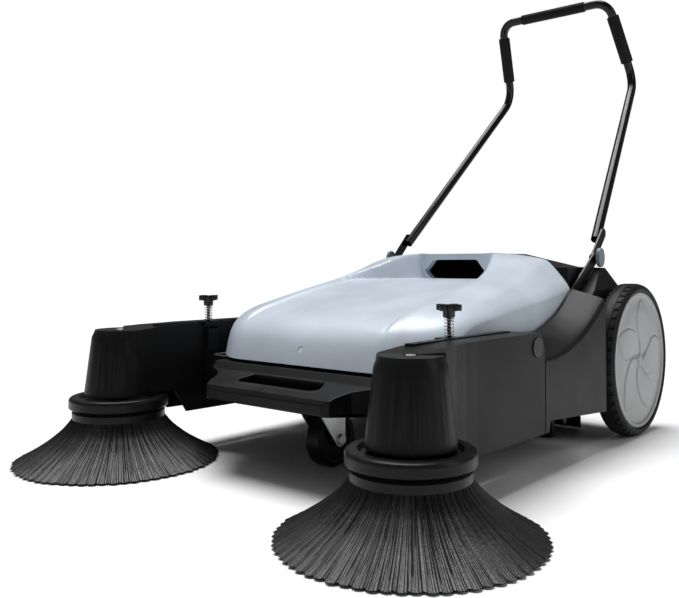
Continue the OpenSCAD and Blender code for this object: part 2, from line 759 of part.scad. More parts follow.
module flap_strip() {
    color("#a9adb0") difference() {
        translate([-220, 271, 81]) cube([440, 2, 14]);
        for (x = [-180 : 90 : 180]) translate([x, 267, 88]) rotate([-90, 0, 0]) cylinder(h = 10, r = 2.2);
    }
}

// ---- Caster ----

swivel_y = caster_y - 28;

module caster_plate() {
    color("#a4a7aa") difference() {
        union() {
            translate([-45, swivel_y - 32, 112.5]) cube([90, 67, 3.4]);
            translate([0, swivel_y, 107]) cylinder(h = 6, r = 22);
        }
        for (x = [-32, 32], y = [-22, 22]) translate([x, swivel_y + y, 110]) cylinder(h = 12, r = 3.3);
        translate([0, swivel_y, 100]) cylinder(h = 20, r = 6 + run_gap);
    }
}

// Forked bracket that swivels and holds the wheel behind its swivel axis
module caster_fork() {
    color("#8f9295") difference() {
        union() {
            translate([0, swivel_y, 103]) cylinder(h = 3.6, r = 27);
            translate([-25, swivel_y, 103]) cube([50, 40, 3]);
            translate([0, swivel_y, 103]) cylinder(h = 12.5, r = 6);
            for (x = [-25, 22]) {
                yz(x, 3) polygon([[swivel_y - 24, 106], [swivel_y - 24, 99], [caster_y - 11, caster_r - 7],
                    [caster_y + 13, caster_r], [caster_y + 13, 106]]);
                xcyl(x, 3, caster_y, caster_r, 13);
            }
        }
        xcyl(-30, 60, caster_y, caster_r, pin_r);
    }
}

module caster_wheel() {
    color("#191a1b") translate([-19, caster_y, caster_r]) rotate([0, 90, 0]) rotate_extrude()
        polygon(concat([[pin_r + run_gap, 0], [14, 0], [16, 5], [34, 5], [36, 2]], arc([43, 8], 7, -90, 0, 5),
            arc([43, 30], 7, 0, 90, 5), [[36, 36], [34, 33], [16, 33], [14, 38], [pin_r + run_gap, 38]]));
}

module caster_bolt() {
    color("#b9bcbf") {
        xcyl(-29, 59, caster_y, caster_r, pin_r);
        for (x = [-30.5, 25]) translate([x, caster_y, caster_r]) rotate([0, 90, 0])
            cylinder(h = 5.5, r = 9.5, $fn = 6);
    }
}

// ---- Handle ----

bracket_bolts_yz = [for (k = bracket_bolt_at) bracket_low + ([pivot_y, pivot_z] - bracket_low) * k];

// Flat bar with rounded ends, in a plane across X
module bar(x, t, a, b, r) {
    across = unit([a[1] - b[1], b[0] - a[0]]) * r;
    yz(x, t) polygon([a - across, b - across, b + across, a + across]);
    xcyl(x, t, a[0], a[1], r);
    xcyl(x, t, b[0], b[1], r);
}

// Flat bar on each side that carries the fold pivot
module handle_brackets() {
    color("#1b1c1e") for (s = [-1, 1]) side(s) difference() {
        bar(bracket_x, bracket_t, bracket_low, [pivot_y, pivot_z], 12);
        xcyl(bracket_x - 1, bracket_t + 2, pivot_y, pivot_z, pivot_bolt_r + run_gap);
        for (p = bracket_bolts_yz) xcyl(bracket_x - 1, bracket_t + 2, p[0], p[1], 3.1);
    }
}

// Screws that hold each bracket to the side panel's inner wall
module bracket_bolts() {
    color("#8a8d90") for (s = [-1, 1], p = bracket_bolts_yz) side(s) {
        xcyl(bracket_x, 7, p[0], p[1], 3.1);
        translate([wall_out_x + 3, p[0], p[1]]) rotate([0, 90, 0]) cylinder(h = 3, r = 6, $fn = 6);
    }
}

// Middle line of the tube, longer by extra at both feet
function handle_path(extra) =
    let (foot = handle_foot - unit(handle_elbow - handle_foot) * extra,
        half = concat([foot], bend(foot, handle_elbow, handle_corner, 60),
            bend(handle_elbow, handle_corner, [0, handle_corner[1], handle_corner[2]], 42)))
    concat(half, [for (i = [len(half) - 1 : -1 : 0]) [-half[i][0], half[i][1], half[i][2]]]);

// One bent tube with a flattened eye at each foot
module handle_tube() {
    eye_end = [handle_foot[1] + 14, handle_foot[2] + 14];
    color("#17181a") {
        difference() {
            sweep(handle_path(0), tube_d / 2, 18, [0, 1, -0.5]);
            sweep(handle_path(1), tube_d / 2 - tube_wall, 18, [0, 1, -0.5]);
        }
        for (s = [-1, 1]) side(s) difference() {
            bar(plate_x, 4, [pivot_y, pivot_z], eye_end, 11);
            xcyl(plate_x - 1, 6, pivot_y, pivot_z, pivot_bolt_r + run_gap);
        }
    }
}

// Foam sleeves on the two slanted sides and on the crossbar
module handle_grips() {
    lean = unit(handle_corner - handle_elbow);
    color("#0e0e0f") {
        for (s = [-1, 1]) side(s) sleeve(handle_elbow + lean * 56, handle_elbow + lean * 184, grip_d / 2);
        y = handle_corner[1];
        z = handle_corner[2];
        sleeve([-92, y, z], [92, y, z], tube_d / 2 + 2.5);
    }
}

// Hollow sleeve round the tube from a to b
module sleeve(a, b, r) {
    difference() {
        rod(a, b, r);
        rod(a - unit(b - a), b + unit(b - a), tube_d / 2);
    }
}

// Oval knob whose bolt clamps the tube's eye to the bracket
module clamp_knob(s) {
    disc_x = bracket_x + bracket_t + 5;
    color("#7f868c") side(s) {
        xcyl(plate_x - 5, disc_x - plate_x + 6, pivot_y, pivot_z, pivot_bolt_r);
        xcyl(plate_x - 5, 4.6, pivot_y, pivot_z, 7);
        xcyl(disc_x - 4.6, 5, pivot_y, pivot_z, 11);
        yz(disc_x, 9) polygon([for (a = [0 : 10 : 350]) [pivot_y + 15 * cos(a), pivot_z + 20.5 * sin(a)]]);
    }
}

chassis();
rear_housing();
side_fenders();
bumper_handle();
brush_tunnel();
rear_flap();
flap_strip();
roller_bearings();
roller_belt();
wheel_belts();
wheel_axle();
arm_pivot_pins();
caster_plate();
handle_brackets();
bracket_bolts();
hood();
hopper_bin();
hood_button();
side_arm(-1);  // side_arm_left
side_arm(1);  // side_arm_right
arm_belt(-1);  // arm_belt_left
arm_belt(1);  // arm_belt_right
spindle_bearings(-1);  // spindle_bearings_left
spindle_bearings(1);  // spindle_bearings_right
tower_bolt(-1);  // tower_bolt_left
tower_bolt(1);  // tower_bolt_right
pivot_pulley(-1);  // pivot_pulley_left
pivot_pulley(1);  // pivot_pulley_right
pinion_shaft(-1);  // pinion_shaft_left
pinion_shaft(1);  // pinion_shaft_right
geared_spindle(-1);  // geared_spindle_left
geared_spindle(1);  // geared_spindle_right
brush_plate(-1);  // brush_plate_left
brush_plate(1);  // brush_plate_right
bristle_ring(-1);  // bristle_ring_left
bristle_ring(1);  // bristle_ring_right
side_bristles(-1);  // side_bristles_left
side_bristles(1);  // side_bristles_right
adjuster_knob(-1);  // adjuster_knob_left
adjuster_knob(1);  // adjuster_knob_right
adjuster_spring(-1);  // adjuster_spring_left
adjuster_spring(1);  // adjuster_spring_right
tyre(-1);  // tyre_left
tyre(1);  // tyre_right
wheel_rim(-1);  // wheel_rim_left
wheel_rim(1);  // wheel_rim_right
hubcap(-1);  // hubcap_left
hubcap(1);  // hubcap_right
drive_pulleys(-1);  // drive_pulleys_left
drive_pulleys(1);  // drive_pulleys_right
roller_core();
roller_bristles();
roller_pulley();
caster_fork();
caster_wheel();
caster_bolt();
handle_tube();
handle_grips();
clamp_knob(-1);  // clamp_knob_left
clamp_knob(1);  // clamp_knob_right
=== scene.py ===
"""Looks of the push sweeper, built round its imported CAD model. Metres, the same frame as the CAD."""
import json
import math
import random

import bpy
import bmesh
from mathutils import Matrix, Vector


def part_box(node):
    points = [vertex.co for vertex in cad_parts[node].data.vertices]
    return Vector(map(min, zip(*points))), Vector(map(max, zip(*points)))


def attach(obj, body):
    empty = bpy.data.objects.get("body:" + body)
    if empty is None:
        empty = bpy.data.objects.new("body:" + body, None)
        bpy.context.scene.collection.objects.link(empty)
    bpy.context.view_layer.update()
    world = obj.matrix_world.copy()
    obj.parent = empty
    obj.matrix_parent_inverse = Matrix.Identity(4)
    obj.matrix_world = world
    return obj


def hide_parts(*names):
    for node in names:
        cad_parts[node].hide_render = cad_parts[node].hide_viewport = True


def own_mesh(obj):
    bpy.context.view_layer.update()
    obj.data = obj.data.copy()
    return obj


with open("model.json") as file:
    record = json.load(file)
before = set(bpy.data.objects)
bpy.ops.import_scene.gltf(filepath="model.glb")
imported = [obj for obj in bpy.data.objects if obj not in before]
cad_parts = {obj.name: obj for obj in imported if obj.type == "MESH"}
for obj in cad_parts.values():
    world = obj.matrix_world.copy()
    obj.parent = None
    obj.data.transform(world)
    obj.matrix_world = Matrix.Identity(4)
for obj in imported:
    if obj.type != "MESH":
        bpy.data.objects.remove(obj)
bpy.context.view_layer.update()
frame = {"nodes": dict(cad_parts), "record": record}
nodes = frame["nodes"]
SIDES = (("left", -1), ("right", 1))


# ---------------------------------------------------------------- materials

class Graph:
    """A material's node tree, with short calls for the nodes used here."""

    def __init__(self, name):
        self.material = bpy.data.materials.new(name)
        self.material.use_nodes = True
        self.tree = self.material.node_tree
        self.shader = self.tree.nodes["Principled BSDF"]
        self.place = self.node("ShaderNodeTexCoord").outputs["Object"]

    def node(self, kind, **settings):
        n = self.tree.nodes.new(kind)
        for key, value in settings.items():
            setattr(n, key, value)
        return n

    def put(self, socket, value):
        if hasattr(value, "is_output"):
            self.tree.links.new(value, socket)
        else:
            socket.default_value = value

    def noise(self, scale, detail=4.0, rough=0.55, stretch=None, distortion=0.0):
        n = self.node("ShaderNodeTexNoise")
        self.put(n.inputs["Vector"], self.stretched(stretch) if stretch else self.place)
        n.inputs["Scale"].default_value = scale
        n.inputs["Detail"].default_value = detail
        n.inputs["Roughness"].default_value = rough
        n.inputs["Distortion"].default_value = distortion
        return n.outputs["Fac"]

    def stretched(self, scale):
        n = self.node("ShaderNodeMapping")
        self.put(n.inputs["Vector"], self.place)
        n.inputs["Scale"].default_value = scale
        return n.outputs["Vector"]

    def span(self, value, low, high, to_low=0.0, to_high=1.0):
        n = self.node("ShaderNodeMapRange", clamp=True)
        for key, v in zip(("Value", "From Min", "From Max", "To Min", "To Max"), (value, low, high, to_low, to_high)):
            self.put(n.inputs[key], v)
        return n.outputs["Result"]

    def math(self, operation, a, b):
        n = self.node("ShaderNodeMath", operation=operation)
        self.put(n.inputs[0], a)
        self.put(n.inputs[1], b)
        return n.outputs[0]

    def mix(self, factor, a, b):
        n = self.node("ShaderNodeMix", data_type="RGBA")
        self.put(n.inputs["Factor"], factor)
        self.put(n.inputs["A"], a)
        self.put(n.inputs["B"], b)
        return n.outputs["Result"]

    def height(self):
        n = self.node("ShaderNodeSeparateXYZ")
        self.put(n.inputs[0], self.place)
        return n.outputs["Z"]

    def facing_up(self):
        n = self.node("ShaderNodeSeparateXYZ")
        self.put(n.inputs[0], self.node("ShaderNodeNewGeometry").outputs["Normal"])
        return n.outputs["Z"]

    def edges(self, low=0.515, high=0.58):
        """1 on convex edges, 0 on flat stretches."""
        return self.span(self.node("ShaderNodeNewGeometry").outputs["Pointiness"], low, high)

    def bump(self, *layers):
        """Each layer is (height, distance in metres)."""
        normal = None
        for value, distance in layers:
            n = self.node("ShaderNodeBump")
            n.inputs["Distance"].default_value = distance
            self.put(n.inputs["Height"], value)
            if normal is not None:
                self.put(n.inputs["Normal"], normal)
            normal = n.outputs["Normal"]
        self.put(self.shader.inputs["Normal"], normal)

    def set(self, **values):
        for key, value in values.items():
            self.put(self.shader.inputs[key.replace("_", " ")], value)


def rgba(c, k=1.0):
    return (c[0] * k, c[1] * k, c[2] * k, 1.0)


def moulding(name, colour, roughness, grain=900.0, grain_depth=0.00006, dust=0.03, scuff=0.12, coat=0.0, shine=0.5):
    """Injection-moulded plastic: etched grain, cloudy gloss, worn edges and a little dust on upward faces."""
    g = Graph(name)
    cloud = g.noise(9.0, 5.0)
    fine = g.noise(grain, 2.0)
    scratches = g.span(g.noise(60.0, 6.0, 0.7, stretch=(1.0, 7.0, 1.0)), 0.60, 0.72)
    lift = g.mix(g.span(cloud, 0.35, 0.7), rgba(colour, 0.93), rgba(colour, 1.07))
    worn = g.math("MULTIPLY", g.edges(), g.span(g.noise(45.0, 4.0), 0.35, 0.65, 0.0, scuff))
    pale = tuple(min(1.0, c * 1.5 + 0.02) for c in colour)
    colour_out = g.mix(worn, lift, rgba(pale))
    settled = g.math("MULTIPLY", g.span(g.facing_up(), 0.55, 1.0, 0.0, dust), g.span(g.noise(22.0, 6.0), 0.4, 0.7))
    g.set(Base_Color=g.mix(settled, colour_out, (0.33, 0.31, 0.28, 1.0)))
    rough = g.math("ADD", g.span(cloud, 0.3, 0.7, roughness - 0.04, roughness + 0.05),
                   g.math("MULTIPLY", scratches, 0.10))
    g.set(Roughness=g.math("ADD", rough, g.math("MULTIPLY", settled, 0.5)))
    g.bump((fine, grain_depth), (scratches, 0.000006))
    g.shader.inputs["Specular IOR Level"].default_value = shine
    g.shader.inputs["Coat Weight"].default_value = coat
    g.shader.inputs["Coat Roughness"].default_value = 0.25
    return g.material


def metal(name, colour, roughness, brushed=(1.0, 1.0, 1.0), stain=0.3, rust=0.0):
    """Plated or machined metal: brushing and cloudy tarnish."""
    g = Graph(name)
    cloud = g.noise(30.0, 6.0)
    lines = g.noise(500.0, 3.0, 0.6, stretch=brushed)
    tint = g.mix(g.span(cloud, 0.4, 0.75, 0.0, stain), rgba(colour), rgba(colour, 0.72))
    if rust:
        spots = g.span(g.noise(120.0, 8.0, 0.7), 0.62, 0.70, 0.0, rust)
        tint = g.mix(spots, tint, (0.20, 0.09, 0.035, 1.0))
    g.set(Base_Color=tint)
    g.shader.inputs["Metallic"].default_value = 1.0
    g.set(Roughness=g.math("ADD", g.span(lines, 0.3, 0.7, roughness - 0.06, roughness + 0.08),
                           g.span(cloud, 0.45, 0.8, 0.0, 0.15)))
    g.bump((lines, 0.00003))
    return g.material


def rubber(name, colour, roughness, dust=0.2):
    """Rubber or foam: fine pores and pale patches of bloom and dust."""
    g = Graph(name)
    bloom = g.span(g.noise(35.0, 6.0, 0.65), 0.42, 0.75, 0.0, dust)
    g.set(Base_Color=g.mix(bloom, rgba(colour), rgba(tuple(c * 1.8 + 0.018 for c in colour))))
    g.set(Roughness=g.span(g.noise(60.0, 4.0), 0.3, 0.7, roughness - 0.06, roughness + 0.06))
    g.bump((g.noise(1400.0, 3.0), 0.00009), (g.noise(90.0, 3.0), 0.00006))
    g.shader.inputs["Specular IOR Level"].default_value = 0.18
    return g.material


def coated(name, colour, roughness):
    """Powder-coated steel: faint orange peel, cloudy gloss and a few fine specks."""
    g = Graph(name)
    specks = g.span(g.noise(210.0, 6.0, 0.7), 0.70, 0.74, 0.0, 0.35)
    g.set(Base_Color=g.mix(specks, g.mix(g.noise(14.0), rgba(colour, 0.8), rgba(colour, 1.2)), rgba(colour, 4.0)))
    g.set(Roughness=g.span(g.noise(40.0, 5.0), 0.3, 0.7, roughness - 0.04, roughness + 0.06))
    g.bump((g.noise(420.0, 2.0), 0.00005))
    g.shader.inputs["Specular IOR Level"].default_value = 0.2
    g.shader.inputs["Coat Weight"].default_value = 0.1
    g.shader.inputs["Coat Roughness"].default_value = 0.1
    return g.material


def filament(name, colour):
    """Stiff nylon filament: streaks along the bristles, a dull sheen and paler, dusty tips."""
    g = Graph(name)
    streak = g.noise(260.0, 4.0, 0.6, stretch=(1.0, 1.0, 0.18))
    tips = g.span(g.height(), 0.0, 0.05, 0.35, 0.0)
    body = g.mix(g.span(streak, 0.35, 0.7), rgba(colour, 0.55), rgba(colour, 1.5))
    g.set(Base_Color=g.mix(g.math("MULTIPLY", tips, streak), body, (0.035, 0.034, 0.032, 1.0)))
    g.set(Roughness=g.span(streak, 0.3, 0.7, 0.30, 0.48))
    g.shader.inputs["Specular IOR Level"].default_value = 0.42
    g.bump((streak, 0.0004))
    return g.material


LOOKS = {
    "hood_plastic": moulding("hood_plastic", (0.565, 0.64, 0.725), 0.36, 1500.0, 0.00002, 0.03, 0.10, 0.25),
    "black_moulding": moulding("black_moulding", (0.0062, 0.0063, 0.0066), 0.40, shine=0.13),
    "panel_moulding": moulding("panel_moulding", (0.0080, 0.0081, 0.0084), 0.42, shine=0.16),
    "bin_moulding": moulding("bin_moulding", (0.06, 0.062, 0.067), 0.55, dust=0.5, scuff=0.5),
    "black_tube": coated("black_tube", (0.004, 0.004, 0.0043), 0.22),
    "black_bracket": coated("black_bracket", (0.006, 0.006, 0.0063), 0.33),
    "zinc_steel": metal("zinc_steel", (0.66, 0.67, 0.68), 0.30, stain=0.35),
    "machined_steel": metal("machined_steel", (0.52, 0.52, 0.53), 0.34, (1.0, 12.0, 12.0), rust=0.3),
    "bearing_steel": metal("bearing_steel", (0.75, 0.75, 0.76), 0.16, (8.0, 8.0, 1.0), 0.15),
    "spring_steel": metal("spring_steel", (0.78, 0.78, 0.79), 0.22, stain=0.2),
    "galvanised_sheet": metal("galvanised_sheet", (0.50, 0.51, 0.52), 0.45, stain=0.6, rust=0.25),
    "belt_rubber": rubber("belt_rubber", (0.014, 0.014, 0.014), 0.65),
    "flap_rubber": rubber("flap_rubber", (0.018, 0.018, 0.019), 0.7, 0.4),
    "tyre_rubber": rubber("tyre_rubber", (0.007, 0.007, 0.0073), 0.5, 0.12),
    "caster_rubber": rubber("caster_rubber", (0.006, 0.006, 0.0062), 0.36, 0.1),
    "wheel_disc": moulding("wheel_disc", (0.30, 0.305, 0.31), 0.36, 800.0, 0.00004, 0.02, 0.1),
    "rim_moulding": moulding("rim_moulding", (0.045, 0.046, 0.05), 0.5),
    "pulley_moulding": moulding("pulley_moulding", (0.05, 0.05, 0.052), 0.5, scuff=0.5),
    "bristle_nylon": filament("bristle_nylon", (0.0062, 0.0062, 0.0065)),
    "brush_block": moulding("brush_block", (0.0058, 0.0058, 0.0062), 0.34, 700.0, 0.00004, shine=0.18),
    "grip_foam": rubber("grip_foam", (0.003, 0.003, 0.003), 0.7, 0.08),
    "knob_moulding": moulding("knob_moulding", (0.005, 0.005, 0.0055), 0.32, 700.0, 0.00003, shine=0.35),
    "clamp_moulding": moulding("clamp_moulding", (0.17, 0.20, 0.225), 0.42, 700.0, 0.00004),
    "button_moulding": moulding("button_moulding", (0.72, 0.75, 0.78), 0.25, 1500.0, 0.00001, 0.02, 0.1),
}

slot_of = {row["node"]: row["material_slot"] for row in frame["record"]["subparts"]}


def finish_node(name, bevel=0.0, segments=3, angle=35.0):
    """Material, smooth shading and rounded edges for a CAD node that is shown as it is."""
    o = nodes[name]
    o.data.materials.clear()
    o.data.materials.append(LOOKS[slot_of[name]])
    if bevel:
        weld = o.modifiers.new("weld", "WELD")
        weld.merge_threshold = 0.00001
        flat = o.modifiers.new("flat", "DECIMATE")
        flat.decimate_type = "DISSOLVE"
        flat.angle_limit = math.radians(1.0)
        b = o.modifiers.new("edge", "BEVEL")
        b.width = bevel
        b.segments = segments
        b.limit_method = "ANGLE"
        b.angle_limit = math.radians(angle)
        b.use_clamp_overlap = True
        b.harden_normals = True


# Rounding of the moulded and machined edges, in metres
EDGES = {
    "side_arm": 0.0022, "chassis": 0.0010, "rear_housing": 0.0030, "side_fenders": 0.0018, "bumper_handle": 0.0035,
    "hopper_bin": 0.0010, "adjuster_knob": 0.0014, "tower_bolt": 0.0007, "caster_fork": 0.0008, "caster_bolt": 0.0007,
    "caster_plate": 0.0006, "handle_brackets": 0.0009, "clamp_knob": 0.0022, "handle_grips": 0.0016,
    "rear_flap": 0.0005, "bracket_bolts": 0.0005, "arm_pivot_pins": 0.0008, "hood_button": 0.0009,
}

for node_name in nodes:
    finish_node(node_name, EDGES.get(node_name.replace("_left", "").replace("_right", ""), 0.0))


def blacken_hub(side):
    """The clamp's bolt, nut and hub are black; only the oval face is blue-grey."""
    o = nodes["clamp_knob_" + side]
    o.data.materials.append(LOOKS["black_bracket"])
    edge = max(abs((o.matrix_world @ v.co).x) for v in o.data.vertices) - 0.0095
    for poly in o.data.polygons:
        if abs((o.matrix_world @ poly.center).x) < edge:
            poly.material_index = 1


for side_name, _ in SIDES:
    blacken_hub(side_name)

# ---------------------------------------------------------------- mesh tools

def lookup(rows, key):
    """Straight-line value at key in rows of (key, value)."""
    if key <= rows[0][0]:
        return rows[0][1]
    for (k0, v0), (k1, v1) in zip(rows, rows[1:]):
        if key <= k1:
            return v0 + (v1 - v0) * (key - k0) / (k1 - k0)
    return rows[-1][1]


def smooth(rows, key):
    """As lookup, with slopes that run on through each row (monotone cubic)."""
    if key <= rows[0][0]:
        return rows[0][1]
    if key >= rows[-1][0]:
        return rows[-1][1]
    i = next(k for k in range(len(rows) - 1) if key <= rows[k + 1][0])
    step = [(b[1] - a[1]) / (b[0] - a[0]) for a, b in zip(rows, rows[1:])]

    def slope(k):
        if k == 0 or k == len(rows) - 1:
            return step[min(k, len(step) - 1)]
        a, b = step[k - 1], step[k]
        return 0.0 if a * b <= 0 else 2 * a * b / (a + b)

    (x0, y0), (x1, y1) = rows[i], rows[i + 1]
    h = x1 - x0
    t = (key - x0) / h
    return ((2 * t**3 - 3 * t**2 + 1) * y0 + (t**3 - 2 * t**2 + t) * h * slope(i)
            + (3 * t**2 - 2 * t**3) * y1 + (t**3 - t**2) * h * slope(i + 1))


def smoothstep(low, high, value):
    t = max(0.0, min(1.0, (value - low) / (high - low)))
    return t * t * (3 - 2 * t)


def face_outwards(mesh):
    bm = bmesh.new()
    bm.from_mesh(mesh)
    bmesh.ops.recalc_face_normals(bm, faces=bm.faces)
    bm.to_mesh(mesh)
    bm.free()


def make(name, points, faces, look, body, replaces=(), uvs=None, angle=40.0):
    """A finished piece: points in metres in the frame, riding on a body."""
    mesh = bpy.data.meshes.new(name)
    mesh.from_pydata([tuple(p) for p in points], [], faces)
    mesh.validate()
    if uvs is not None:
        layer = mesh.uv_layers.new(name="UVMap")
        for poly in mesh.polygons:
            cells = [uvs[mesh.loops[i].vertex_index] for i in poly.loop_indices]
            wrap = max(c[0] for c in cells) - min(c[0] for c in cells) > 0.5
            for i, c in zip(poly.loop_indices, cells):
                layer.data[i].uv = (c[0] + 1.0 if wrap and c[0] < 0.5 else c[0], c[1])
    face_outwards(mesh)
    o = bpy.data.objects.new(name, mesh)
    bpy.context.collection.objects.link(o)
    mesh.shade_smooth()
    mesh.set_sharp_from_angle(angle=math.radians(angle))
    mesh.materials.append(LOOKS[look])
    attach(o, body)
    if replaces:
        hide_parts(*replaces)
    return o


def grid(rows, columns, wrap_rows=False, wrap_columns=False, base=0):
    """Quads over points numbered row by row."""
    out = []
    for i in range(rows if wrap_rows else rows - 1):
        for k in range(columns if wrap_columns else columns - 1):
            a, b = base + i * columns + k, base + i * columns + (k + 1) % columns
            j = (i + 1) % rows
            out.append((a, b, base + j * columns + (k + 1) % columns, base + j * columns + k))
    return out


def ends(rows, columns):
    """The first and the last row, each closed with one face."""
    return [tuple(range(columns)), tuple((rows - 1) * columns + k for k in range(columns))]


def middle(node):
    low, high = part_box(node)
    return [(a + b) / 2 for a, b in zip(low, high)]


# ---------------------------------------------------------------- side brushes

TUFTS = 66
# Height above the floor and the skirt's radius there, from the brush block down to the tips
FLARE_MM = ((84, 81), (78, 83.2), (70, 88.8), (60, 97.5), (50, 109), (40, 121.5), (30, 136), (20, 152.5), (12, 167),
            (4, 183.5))
COLUMNS_PER_TUFT, SKIRT_ROWS = 20, 20


def brush_bristles(side, sign):
    """Tufts that merge into one flared skirt, each with its own filaments and cut to a slightly different length."""
    rng = random.Random(7 if sign > 0 else 8)
    cx, cy, _ = middle("bristle_ring_" + side)
    low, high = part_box("side_bristles_" + side)
    reach = (high[0] - low[0]) / 2
    columns = TUFTS * COLUMNS_PER_TUFT
    tuft_length = [rng.uniform(0.985, 1.0) for _ in range(TUFTS)]
    tuft_turn = [rng.uniform(-0.10, 0.10) for _ in range(TUFTS)]
    fine = [[rng.uniform(-1, 1) for _ in range(COLUMNS_PER_TUFT)] for _ in range(TUFTS)]
    points, uvs = [], []

    def skirt(row, column, inset):
        tuft, k = divmod(column, COLUMNS_PER_TUFT)
        f = row / (SKIRT_ROWS - 1)
        across = (k + 0.5) / COLUMNS_PER_TUFT * 2 - 1
        z = FLARE_MM[0][0] + (FLARE_MM[-1][0] - FLARE_MM[0][0]) * f
        r = smooth(tuple((-a, b) for a, b in FLARE_MM), -z)
        round_up = math.sqrt(max(0.0, 1 - across * across))
        tuft_height = (2.6 + 1.0 * f) * (0.25 + 0.75 * smoothstep(0.0, 0.12, f))
        filaments = (0.8 + 1.1 * f) * (fine[tuft][k] * 0.35 + math.cos(k * math.pi / 2)) * 0.5
        reach_mm = r + tuft_height * (round_up - 0.45) + filaments - inset
        cut = 1 - (1 - tuft_length[tuft] * (1 - 0.016 * across * across)) * smoothstep(0.75, 1.0, f)
        turn = (tuft + 0.5 + (across + tuft_turn[tuft] * f * 1.6) / 2) * math.tau / TUFTS
        out = min(reach_mm * cut, reach * 1000.0)
        return (cx + out / 1000 * math.cos(turn), cy + out / 1000 * math.sin(turn), z / 1000)

    for row in range(SKIRT_ROWS):
        for column in range(columns):
            points.append(skirt(row, column, 0.0))
            uvs.append(((column + 0.5) / columns, row / SKIRT_ROWS))
    for column in range(columns):
        x, y, _ = skirt(SKIRT_ROWS - 1, column, 4.0)
        points.append((x, y, 0.0025))
        uvs.append(((column + 0.5) / columns, 1.0))
    for row in range(SKIRT_ROWS - 1, -1, -1):
        for column in range(columns):
            x, y, z = skirt(row, column, 11.0)
            points.append((x, y, max(z, 0.0045) - 0.0012))
            uvs.append(((column + 0.5) / columns, row / SKIRT_ROWS))
    faces = grid(SKIRT_ROWS * 2 + 1, columns, wrap_rows=True, wrap_columns=True)
    return make("brush_skirt_" + side, points, faces, "bristle_nylon", "side_brush_" + side,
                ["side_bristles_" + side], uvs, 70.0)


# ---------------------------------------------------------------- wheels

# Tread cross-section from the inner bead to the outer one, in millimetres: outwards, radius, depth of the pockets
TREAD_MM = ((2.0, 143.2, 0), (0.4, 146, 0), (0.2, 152, 0), (1.2, 156.5, 0), (3.0, 158.8, 0), (4.0, 159.6, 0),
            (4.6, 160, 2.4), (9.5, 160.6, 2.4), (10.2, 160.9, 0), (13.0, 161, 0), (13.6, 159.4, 0), (15.4, 159.4, 0),
            (16.0, 161, 0), (23.0, 161, 0), (29.5, 161, 0), (30.0, 159.2, 0), (31.2, 159.0, 0), (31.8, 160.9, 0),
            (32.4, 160.9, 0), (33.0, 160.7, 2.6), (36.5, 160.0, 2.8), (40.2, 158.6, 2.6), (40.8, 158.0, 0),
            (42.0, 157.2, 0), (44.2, 154.4, 0), (45.5, 151, 0), (45.9, 148.2, 0), (45.2, 146.2, 0),
            (43.4, 145.2, 0), (42.0, 143.2, 0))
TREAD_LUGS, COLUMNS_PER_LUG = 46, 10
POCKET_COLUMNS = (4, 5, 6, 7)


def tyre(side, sign):
    """Tyre with a ribbed crown, a shoulder row of pockets and a rounded bead."""
    low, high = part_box("tyre_" + side)
    inner_x = min(abs(low[0]), abs(high[0]))
    cy, cz = (low[1] + high[1]) / 2, (low[2] + high[2]) / 2
    columns = TREAD_LUGS * COLUMNS_PER_LUG
    points = []
    for k in range(columns):
        a = math.tau * k / columns
        inside = k % COLUMNS_PER_LUG in POCKET_COLUMNS
        for x, r, depth in TREAD_MM:
            d = r - (depth if inside else 0.0)
            points.append((sign * (inner_x + x / 1000), cy + d / 1000 * math.cos(a), cz + d / 1000 * math.sin(a)))
    faces = grid(columns, len(TREAD_MM), wrap_rows=True, wrap_columns=True)
    return make("tread_" + side, points, faces, "tyre_rubber", "wheel_" + side, ["tyre_" + side], angle=38.0)


PETALS = 5
DISC_DEPTH_MM = 4.6
DISC_R_MM = 142.5
HUB_RADII_MM = (0.0, 3, 6, 9, 11, 12.5, 14, 15.5, 17, 19, 21.5, 24)
LIP_RADII_MM = (131.5, 133.2, 134.6, 135.6, 136.6, 138.0, 139.6, 141.0, 142.0, DISC_R_MM)


